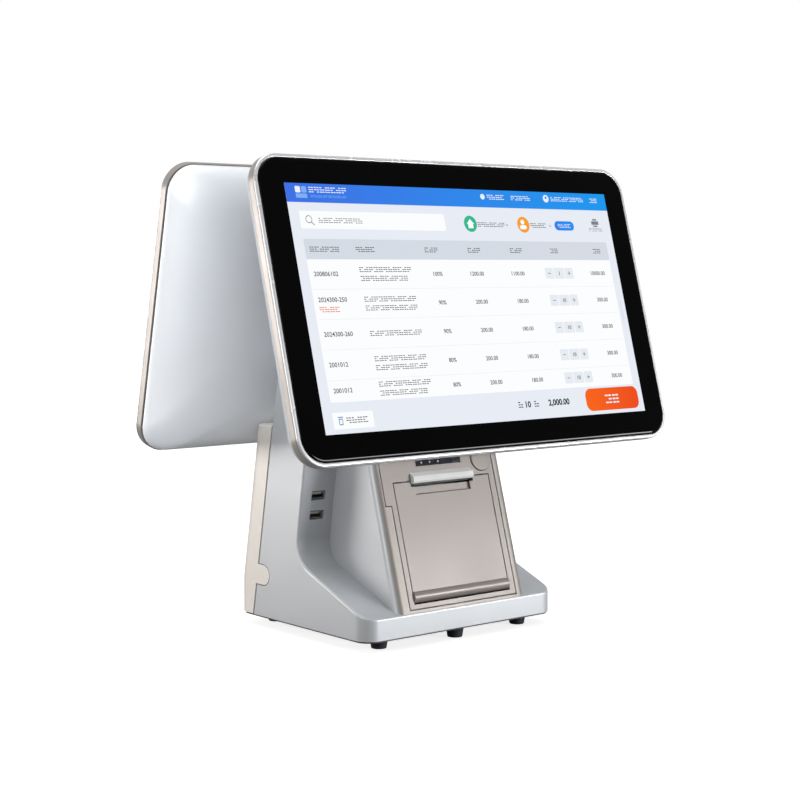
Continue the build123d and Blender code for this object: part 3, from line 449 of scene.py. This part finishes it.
def glass_rings():
    """Section of the cover glass from its back edge, round its rounded front edge, to the flat front."""
    section = [(GLASS_CHAMFER, -GLASS_T), (0.0, -GLASS_T + GLASS_CHAMFER), (0.0, -EDGE_DOWN)]
    for i in range(1, EDGE_STEPS + 1):
        angle = math.radians(90 * i / EDGE_STEPS)
        section.append((EDGE_IN * (1 - math.cos(angle)), -EDGE_DOWN * (1 - math.sin(angle))))
    section.append((EDGE_IN + GLASS_FLAT, 0.0))
    return [(rounded_ring(GLASS_W / 2 - a, GLASS_H / 2 - a, GLASS_R - a), z) for a, z in section]


def shell_ring(share, grow):
    """One ring of the pillow back: share runs from 0 at the rim to 1 on the flat middle."""
    angle = math.pi / 2 * share
    depth = SHELL_FRONT + (SHELL_DEPTH - SHELL_FRONT + grow) * math.sin(angle)
    inset = SHELL_INSET * (1 - math.cos(angle))
    half_w = RIM_W / 2 - SHELL_SIDE_PULL * inset + grow
    half_h = RIM_H / 2 - inset + grow
    return rounded_ring(half_w, half_h, RIM_R + SHELL_ROUNDING * inset + grow), -depth


def shell_rings():
    """The pillow's inside from its flat middle to the rim, then its outside from the rim back."""
    inside = [shell_ring(1 - i / SHELL_RINGS, -SHELL_WALL) for i in range(SHELL_RINGS + 1)]
    outside = [shell_ring(i / SHELL_RINGS, 0.0) for i in range(SHELL_RINGS + 1)]
    half_w, half_h, cut = RIM_W / 2, RIM_H / 2, RIM_CHAMFER
    rim = (rounded_ring(half_w - cut, half_h - cut, RIM_R - cut), -SHELL_FRONT)
    first = (rounded_ring(half_w, half_h, RIM_R), -SHELL_FRONT - cut)
    return inside + [rim, first] + outside[1:]


def make_display(prefix, finish):
    """The frame, cover glass and back shell of one display, in place of the CAD's."""
    matrix = display_matrix(prefix)
    body = BODY_OF[f"{prefix}_touch_glass"]
    rings, materials = frame_rings()
    trim = to_mesh(f"{prefix}_frame_trim", loft(rings, True, materials), matrix)
    lip = moulded(f"{prefix}_lip", srgb(226, 227, 230), 0.26, metallic=0.45, grain=0.1, wear=0.01)
    add_piece(f"{prefix}_frame_trim", trim, body, [finish["frame_grey"], lip],
              [f"{prefix}_display_frame"])
    glass = to_mesh(f"{prefix}_cover_glass", loft(glass_rings()), matrix)
    add_piece(f"{prefix}_cover_glass", glass, body, [finish["front_glass"]],
              [f"{prefix}_touch_glass"])
    shell = to_mesh(f"{prefix}_pillow_back", loft(shell_rings()), matrix, 30.0)
    add_piece(f"{prefix}_pillow_back", shell, body, [finish["display_back"]],
              [f"{prefix}_back_shell"])


# ---------------------------------------------------------------- picture on the main display
LAYER, LAYER_LIFT = 0.04, 0.02  # thickness of one layer of the picture, and its height off the glass
MARK_STROKE, MARK_GAP = 0.17, 0.22  # stroke of a text mark and the gap after it, as shares of its height
DASH_W, DASH_STEP = 0.38, 0.46  # dashes of a mark, as shares of its pitch
DASH_TOP, DASH_RISE = 0.02, 0.41  # and as shares of its height
DASHES, DASH_SHIFT, DASH_CYCLE = 6, 5, 8
DIGIT_WEIGHT, DIGIT_SHARE = 0.07, 0.7  # stroke weight, and a digit's height as a share of the font's size
DISC_STEPS, BOX_CORNER_STEPS, DIGIT_CURVE_STEPS = 32, 8, 3
PIXEL_PITCH, PIXEL_DIM = 5600.0, 0.97

# name and display colour, then for a gradient the colour at its right and its two ends in x
PICTURE_COLOURS = (
    ("header", (60, 112, 230), (20, 152, 240), (-PICTURE_W / 2, PICTURE_W / 2)),
    ("header_pale", (128, 176, 244)), ("header_icon", (40, 140, 236)), ("ground", (233, 237, 246)),
    ("white", (253, 254, 255)), ("white_text", (236, 244, 255)), ("table_head", (213, 220, 229)),
    ("line", (232, 235, 240)), ("stepper", (232, 237, 243)), ("dark_text", (88, 90, 96)),
    ("bold_text", (40, 42, 46)), ("head_text", (70, 78, 88)), ("grey_text", (126, 129, 136)),
    ("red", (238, 96, 92)), ("green", (52, 186, 142)), ("orange", (248, 160, 44)),
    ("pill", (44, 126, 240), (32, 146, 242), (100.0, 130.0)),
    ("blue_line", (110, 150, 190)),
    ("pay", (250, 100, 20), (238, 74, 22), (105.0, 168.0)),
)

# Art in millimetres from the picture's top left corner, drawn in this order. A row is a kind, its measures,
# its layer and colour, then any extra: box x0 y0 x1 y1 (corner radius), disc x y radius, stroke x0 y0 x1 y1
# width, words x y marks height (gap), digits text x y height (centred, weight), tile points.
HEADER_ART = (
    ("box", 0, 0, PICTURE_W, 15.0, 1, "header"),
    ("box", 9.2, 2.4, 14.0, 7.4, 2, "white_text", 0.8),
    ("box", 15.0, 2.4, 19.8, 7.4, 2, "header_pale", 0.8),
    ("box", 9.2, 8.2, 19.8, 11.6, 2, "header_pale", 0.8),
    ("words", 22.0, 4.8, 7, 4.3, 2, "white_text"),
    ("words", 23.0, 10.0, 15, 1.7, 2, "header_pale", 0.35),
    ("disc", 199.5, 5.9, 2.4, 2, "white_text"),
    ("words", 204.4, 6.0, 4, 4.0, 2, "white_text"),
    ("words", 231.3, 6.1, 5, 3.7, 2, "white_text"),
    ("disc", 272.0, 5.8, 3.3, 2, "white_text"),
    ("disc", 272.0, 5.0, 1.2, 3, "header_icon"),
    ("words", 277.6, 5.9, 9, 3.6, 2, "white_text"),
    ("words", 324.8, 6.2, 2, 3.8, 2, "white_text"),
)
HOUSE = ((178.2, 29.4), (178.2, 33.0), (183.6, 33.0), (183.6, 29.4), (184.9, 29.4), (180.9, 25.2),
         (176.9, 29.4))
SEARCH_ART = (
    ("box", 9.3, 21.7, 153.4, 35.6, 1, "white", 1.2),
    ("disc", 17.6, 28.3, 3.1, 2, "grey_text"),
    ("disc", 17.6, 28.3, 2.5, 3, "white"),
    ("stroke", 19.7, 30.5, 22.2, 32.9, 0.7, 2, "grey_text"),
    ("words", 26.6, 28.9, 9, 3.9, 2, "grey_text"),
    ("disc", 180.9, 29.3, 6.9, 1, "green"),
    ("tile", HOUSE, 2, "white"),
    ("words", 188.6, 29.7, 7, 3.6, 1, "dark_text"),
    ("stroke", 220.0, 29.2, 221.3, 30.4, 0.5, 1, "grey_text"),
    ("stroke", 221.3, 30.4, 222.6, 29.2, 0.5, 1, "grey_text"),
    ("disc", 240.2, 29.2, 6.9, 1, "orange"),
    ("disc", 239.6, 26.9, 2.1, 2, "white"),
    ("box", 235.9, 29.6, 243.4, 33.1, 2, "white", 1.6),
    ("words", 248.3, 29.6, 4, 3.8, 1, "dark_text"),
    ("stroke", 270.0, 29.2, 271.3, 30.4, 0.5, 1, "grey_text"),
    ("stroke", 271.3, 30.4, 272.6, 29.2, 0.5, 1, "grey_text"),
    ("box", 276.6, 25.4, 299.6, 33.6, 1, "pill", 4.0),
    ("words", 280.4, 29.5, 4, 3.2, 2, "white_text"),
    ("box", 323.6, 22.8, 328.6, 24.2, 1, "grey_text", 0.4),
    ("box", 321.8, 24.8, 330.4, 28.0, 1, "grey_text", 0.4),
    ("box", 323.6, 28.6, 328.6, 30.0, 1, "grey_text", 0.4),
    ("words", 317.6, 32.4, 5, 2.7, 1, "grey_text"),
)
FOOTER_ART = (
    ("box", 8.8, 177.4, 47.0, 190.0, 1, "white", 1.0),
    ("box", 13.4, 180.6, 18.4, 181.4, 2, "blue_line", 0.2),
    ("box", 14.0, 182.0, 17.8, 187.0, 2, "blue_line", 0.5),
    ("box", 14.7, 182.8, 17.1, 186.2, 3, "white", 0.3),
    ("words", 21.2, 183.6, 4, 4.3, 2, "dark_text"),
    ("words", 197.6, 181.0, 1, 4.8, 1, "bold_text"),
    ("digits", "10", 204.4, 181.0, 4.9, 1, "bold_text", False, 0.2),
    ("words", 215.4, 181.0, 1, 4.8, 1, "bold_text"),
    ("digits", "2,000.00", 231.5, 180.8, 4.9, 1, "bold_text", False, 0.22),
    ("box", 275.2, 171.4, 338.6, 190.6, 1, "pay", 6.5),
    ("words", 298.6, 181.0, 2, 7.4, 2, "white_text", 0.16),
)

# the table: its heads as x and marks, and its rows as code, quantity, share, prices, sum and name lines
TABLE_TOP, HEADER_H, ROW_H = 43.6, 15.0, 23.4
TABLE_LEFT, TABLE_RIGHT, TABLE_BOTTOM = 9.2, 335.4, 169.6
ROWS_TOP = TABLE_TOP + HEADER_H + 1.0
TABLE_HEADS = ((13.6, 6), (57.6, 4), (126.9, 3), (172.6, 3), (219.4, 3), (265.8, 2), (317.2, 2))
HEAD_DROP, TEXT_H, VALUE_H, CODE_H, COUNT_H = 8.0, 3.9, 3.4, 3.6, 3.2
TABLE_ROWS = (
    ("200806102", "1", ("100%", "1200.00", "1100.00", "10000.00"), 2),
    ("2024300-250", "10", ("90%", "200.00", "180.00", "300.00"), 2),
    ("2024300-260", "10", ("90%", "200.00", "180.00", "300.00"), 1),
    ("2001012", "10", ("80%", "200.00", "180.00", "300.00"), 2),
    ("2001012", "10", ("80%", "200.00", "180.00", "300.00"), 2),
)
CODE_X, NAME_X, COUNT_X, VALUES_X = 13.6, 57.7, 271.6, (136.0, 178.0, 223.5, 317.5)
ROW_MIDDLE, LAST_ROW_MIDDLE = 11.6, 8.0
DIVIDER_IN, DIVIDER_UP, DIVIDER_DOWN = 1.5, 0.2, 0.15
NOTED_ROW, NOTE_RISE, NOTE_DROP, NOTE_MARKS, NOTE_H, CODE_RISE = 1, -3.6, 4.0, 4, 4.0, -0.3
NAME_RISE, NAME_STEP, NAME_MARKS, LAST_LINE_ROOM = -3.6, 7.0, (11, 10), 2.4
STEPPER_HALF_W, STEPPER_HALF_H, STEPPER_KEY, STEPPER_GAP_END, STEPPER_R = 16.4, 4.8, 9.6, 10.4, 0.8
SIGN_NEAR, SIGN_FAR, SIGN_MIDDLE, SIGN_HALF, SIGN_STROKE = 3.2, 6.4, 4.8, 1.6, 0.5
SCROLL_BAR = (338.6, 95.5, 339.6, 114.0)


def glow_material(name, low, high=None, across=None):
    """A lit colour of the picture with a faint pixel grid; high and across make a gradient along x."""
    f = Finish(name, 0.0, specular=0.28)
    f.shader.inputs["Base Color"].default_value = (0.002, 0.002, 0.002, 1.0)
    f.shader.inputs["Roughness"].default_value = 0.1
    grid = f.noise(1.0, 0.0, 0.5, f.stretched((PIXEL_PITCH,) * 3))
    colour = low
    if high:
        split = f.node("ShaderNodeSeparateXYZ")
        f.link(f.place, split.inputs["Vector"])
        run = f.spread(split.outputs["X"], 0.0, 1.0, across[0] * MM, across[1] * MM)
        colour = f.blend(run, low, high)
        dim = f.blend(run, scaled(low, PIXEL_DIM), scaled(high, PIXEL_DIM))
    else:
        dim = scaled(low, PIXEL_DIM)
    f.link(f.blend(f.spread(grid, 0.0, 1.0), dim, colour), f.shader.inputs["Emission Color"])
    f.shader.inputs["Emission Strength"].default_value = 1.0
    return f.material


class Picture:
    """Flat closed tiles in millimetres from the picture's top left corner, stacked in thin layers."""

    def __init__(self):
        self.skin = bmesh.new()
        self.colours = []
        self.materials = []

    def colour(self, name, low, high=None, across=None):
        self.colours.append(name)
        self.materials.append(glow_material(f"picture_{name}", low, high, across))

    def tile(self, points, layer, colour):
        low, high = LAYER * layer + LAYER_LIFT, LAYER * (layer + 1) + LAYER_LIFT
        place = [(x - PICTURE_W / 2, PICTURE_H / 2 - y) for x, y in points]
        bottom = [self.skin.verts.new((x, y, low)) for x, y in place]
        top = [self.skin.verts.new((x, y, high)) for x, y in place]
        faces = [self.skin.faces.new(top), self.skin.faces.new(list(reversed(bottom)))]
        for i in range(len(top)):
            j = (i + 1) % len(top)
            faces.append(self.skin.faces.new((bottom[i], bottom[j], top[j], top[i])))
        for face in faces:
            face.material_index = self.colours.index(colour)

    def box(self, x0, y0, x1, y1, layer, colour, radius=0.0):
        if radius <= 0:
            self.tile([(x0, y0), (x0, y1), (x1, y1), (x1, y0)], layer, colour)
            return
        ring = rounded_ring((x1 - x0) / 2, (y1 - y0) / 2, radius, BOX_CORNER_STEPS)
        middle = ((x0 + x1) / 2, (y0 + y1) / 2)
        self.tile([(middle[0] + x, middle[1] - y) for x, y in ring], layer, colour)

    def disc(self, x, y, radius, layer, colour):
        turn = 2 * math.pi / DISC_STEPS
        ring = [(x + radius * math.cos(turn * i), y - radius * math.sin(turn * i)) for i in range(DISC_STEPS)]
        self.tile(ring, layer, colour)

    def stroke(self, x0, y0, x1, y1, width, layer, colour):
        dx, dy = x1 - x0, y1 - y0
        length = math.hypot(dx, dy)
        ox, oy = -dy / length * width / 2, dx / length * width / 2
        ring = [(x0 + ox, y0 + oy), (x1 + ox, y1 + oy), (x1 - ox, y1 - oy), (x0 - ox, y0 - oy)]
        self.tile(ring, layer, colour)

    def words(self, x, y, cells, height, layer, colour, gap=MARK_GAP):
        """A line of text shown as small meaningless marks: two columns of three dashes, some short of one."""
        pitch = height * (1 + gap)
        dash, step, thick, top = pitch * DASH_W, pitch * DASH_STEP, height * MARK_STROKE, y - height / 2
        for i in range(cells):
            for k in range(DASHES):
                if k == (i * DASH_SHIFT + cells) % DASH_CYCLE:
                    continue
                left = x + i * pitch + (k % 2) * step
                bar = top + height * (DASH_TOP + DASH_RISE * (k // 2))
                self.box(left, bar, left + dash, bar + thick, layer, colour)

    def digits(self, text, x, y, height, layer, colour, centred=False, weight=DIGIT_WEIGHT):
        """Numbers in the built-in plain font, as thin solids."""
        curve = bpy.data.curves.new("digits", "FONT")
        curve.body = text
        curve.size = height / DIGIT_SHARE
        curve.offset = weight
        curve.extrude = LAYER / 2
        curve.resolution_u = DIGIT_CURVE_STEPS
        curve.align_x = "CENTER" if centred else "LEFT"
        holder = bpy.data.objects.new("digits", curve)
        bpy.context.scene.collection.objects.link(holder)
        mesh = bpy.data.meshes.new_from_object(holder.evaluated_get(bpy.context.evaluated_depsgraph_get()))
        offset = (x - PICTURE_W / 2, PICTURE_H / 2 - y - height / 2, LAYER * (layer + 0.5) + LAYER_LIFT)
        mesh.transform(Matrix.Translation(offset))
        for polygon in mesh.polygons:
            polygon.material_index = self.colours.index(colour)
        self.skin.from_mesh(mesh)
        bpy.data.objects.remove(holder)
        bpy.data.curves.remove(curve)
        bpy.data.meshes.remove(mesh)

    def draw(self, art):
        shapes = {"box": self.box, "disc": self.disc, "stroke": self.stroke, "words": self.words,
                  "digits": self.digits, "tile": self.tile}
        for kind, *measures in art:
            shapes[kind](*measures)


def row_text(p, index, middle):
    """The code, the name of one or two lines, and the four values of a table row."""
    code, _, values, lines = TABLE_ROWS[index]
    noted = index == NOTED_ROW
    p.digits(code, CODE_X, middle + (NOTE_RISE if noted else CODE_RISE), CODE_H, 2, "dark_text")
    if noted:
        p.words(CODE_X, middle + NOTE_DROP, NOTE_MARKS, NOTE_H, 2, "red")
    for line in range(lines):
        y = middle + (0.0 if lines == 1 else NAME_RISE + NAME_STEP * line)
        if y < TABLE_BOTTOM - LAST_LINE_ROOM:
            marks = NAME_MARKS[0] if line == 0 else NAME_MARKS[1] + index % 2
            p.words(NAME_X, y, marks, TEXT_H, 2, "dark_text")
    for x, value in zip(VALUES_X, values):
        p.digits(value, x, middle, VALUE_H, 2, "dark_text", True)


def row_stepper(p, count, middle):
    """A key with a minus, the quantity and a key with a plus."""
    left, right = COUNT_X - STEPPER_HALF_W, COUNT_X + STEPPER_HALF_W
    low, high = middle - STEPPER_HALF_H, middle + STEPPER_HALF_H
    p.box(left, low, left + STEPPER_KEY, high, 2, "stepper", STEPPER_R)
    p.box(left + STEPPER_GAP_END, low, right - STEPPER_GAP_END, high, 2, "stepper", STEPPER_R)
    p.box(right - STEPPER_KEY, low, right, high, 2, "stepper", STEPPER_R)
    p.stroke(left + SIGN_NEAR, middle, left + SIGN_FAR, middle, SIGN_STROKE, 3, "dark_text")
    p.stroke(right - SIGN_FAR, middle, right - SIGN_NEAR, middle, SIGN_STROKE, 3, "dark_text")
    upright = right - SIGN_MIDDLE
    p.stroke(upright, middle - SIGN_HALF, upright, middle + SIGN_HALF, SIGN_STROKE, 3, "dark_text")
    p.digits(count, COUNT_X, middle, COUNT_H, 3, "dark_text", True)


def picture_row(p, index):
    top = ROWS_TOP + index * ROW_H
    middle = top + (LAST_ROW_MIDDLE if index == len(TABLE_ROWS) - 1 else ROW_MIDDLE)
    if index:
        left, right = TABLE_LEFT + DIVIDER_IN, TABLE_RIGHT - DIVIDER_IN
        p.box(left, top - DIVIDER_UP, right, top + DIVIDER_DOWN, 2, "line")
    row_text(p, index, middle)
    row_stepper(p, TABLE_ROWS[index][1], middle)


def picture_table(p):
    p.box(TABLE_LEFT, TABLE_TOP, TABLE_RIGHT, ROWS_TOP, 1, "table_head", 0.8)
    p.box(TABLE_LEFT, ROWS_TOP, TABLE_RIGHT, TABLE_BOTTOM, 1, "white")
    for x, cells in TABLE_HEADS:
        p.words(x, TABLE_TOP + HEAD_DROP, cells, TEXT_H, 2, "head_text")
    for index in range(len(TABLE_ROWS)):
        picture_row(p, index)
    p.box(*SCROLL_BAR, 1, "table_head", 0.4)


def make_picture(body):
    """The lit picture on the main display: all its tiles as one piece."""
    p = Picture()
    for name, low, *gradient in PICTURE_COLOURS:
        high, across = (srgb(*gradient[0]), gradient[1]) if gradient else (None, None)
        p.colour(name, srgb(*low), high, across)
    p.box(0, 0, PICTURE_W, PICTURE_H, 0, "ground")
    p.draw(HEADER_ART)
    p.draw(SEARCH_ART)
    picture_table(p)
    p.draw(FOOTER_ART)
    mesh = bpy.data.meshes.new("main_picture")
    p.skin.to_mesh(mesh)
    p.skin.free()
    mesh.transform(display_matrix("main") @ Matrix.Scale(MM, 4))
    piece = bpy.data.objects.new("main_picture", mesh)
    bpy.context.scene.collection.objects.link(piece)
    for material in p.materials:
        mesh.materials.append(material)
    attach(piece, body)


# ---------------------------------------------------------------- room, light and camera
def make_floor():
    """A plain pale floor that fades into the studio's white behind the object."""
    low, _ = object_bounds()
    floor = bpy.data.meshes.new("floor")
    skin = bmesh.new()
    bmesh.ops.create_circle(skin, cap_ends=True, segments=96, radius=FLOOR_RADIUS)
    skin.to_mesh(floor)
    skin.free()
    piece = bpy.data.objects.new("floor", floor)
    piece.location.z = low.z - FLOOR_DROP
    bpy.context.scene.collection.objects.link(piece)
    f = Finish("floor", 0.0, specular=0.1)
    cloud = f.spread(f.noise(3.0, 3.0), 0.0, 1.0)
    seen = f.node("ShaderNodeLightPath").outputs["Is Camera Ray"]
    pale = f.blend(cloud, FLOOR_PALE, FLOOR_PALER)
    f.colour(f.blend(seen, FLOOR_BOUNCE, pale))
    f.roughness(f.spread(f.noise(6.0, 3.0), 0.7, 0.8))
    f.shader.inputs["Emission Color"].default_value = (1.0, 1.0, 1.0, 1.0)
    f.link(f.product(seen, FLOOR_GLOW), f.shader.inputs["Emission Strength"])
    floor.materials.append(f.material)


def make_world():
    """A white studio to the camera; to the object, dim walls that brighten towards the upper rear left."""
    world = bpy.data.worlds.new("studio")
    bpy.context.scene.world = world
    world.use_nodes = True
    tree = world.node_tree
    place = tree.nodes.new("ShaderNodeTexCoord")
    dot = tree.nodes.new("ShaderNodeVectorMath")
    dot.operation = "DOT_PRODUCT"
    dot.inputs[1].default_value = WORLD_TOWARDS
    ramp = tree.nodes.new("ShaderNodeMapRange")
    ramp.interpolation_type = "SMOOTHSTEP"
    ramp.inputs["From Min"].default_value, ramp.inputs["From Max"].default_value = WORLD_RANGE
    ramp.inputs["To Min"].default_value = WORLD_DARK
    ramp.inputs["To Max"].default_value = WORLD_BRIGHT
    seen = tree.nodes.new("ShaderNodeLightPath")
    choice = tree.nodes.new("ShaderNodeMix")
    choice.inputs["B"].default_value = 1.0
    tree.links.new(place.outputs["Generated"], dot.inputs[0])
    tree.links.new(dot.outputs["Value"], ramp.inputs["Value"])
    tree.links.new(ramp.outputs["Result"], choice.inputs["A"])
    tree.links.new(seen.outputs["Is Camera Ray"], choice.inputs["Factor"])
    tree.links.new(choice.outputs["Result"], tree.nodes["Background"].inputs["Strength"])
    tree.nodes["Background"].inputs["Color"].default_value = (1.0, 1.0, 1.0, 1.0)


def add_light(name, place, aim, size, power, colour, only):
    """An area light aimed at a point; only names the pieces that it lights, or none for all."""
    data = bpy.data.lights.new(name, "AREA")
    data.shape = "RECTANGLE"
    data.size, data.size_y = size
    data.energy = power
    data.color = colour
    light = bpy.data.objects.new(name, data)
    light.location = place
    light.rotation_euler = (Vector(aim) - Vector(place)).to_track_quat("-Z", "Y").to_euler()
    bpy.context.scene.collection.objects.link(light)
    if only:
        receivers = bpy.data.collections.new(f"lit_by_{name}")
        for piece in only:
            receivers.objects.link(bpy.data.objects[piece])
        light.light_linking.receiver_collection = receivers


def make_lights():
    for name, place, size, power, colour, only in LIGHTS:
        add_light(name, place, LIGHTS_AIM, size, power, colour, only)


def make_camera():
    data = bpy.data.cameras.new("camera")
    data.lens = LENS_MM
    data.sensor_width = SENSOR_MM
    data.clip_start = CLIP_START
    camera = bpy.data.objects.new("camera", data)
    camera.location = CAMERA_AT
    camera.rotation_euler = (math.pi / 2 - CAMERA_PITCH, 0.0, -CAMERA_YAW)
    bpy.context.scene.collection.objects.link(camera)
    bpy.context.scene.camera = camera


# ---------------------------------------------------------------- put it together
finish = make_slot_materials()
for node_name, cad_node in NODES.items():
    cad_node.data.materials[0] = finish[OWN_FINISH.get(node_name, SLOT_OF[node_name])]
for display in ("main", "rear"):
    make_display(display, finish)
make_picture(BODY_OF["main_touch_glass"])
make_floor()
make_world()
make_lights()
make_camera()
bpy.context.scene.view_settings.view_transform = "Standard"
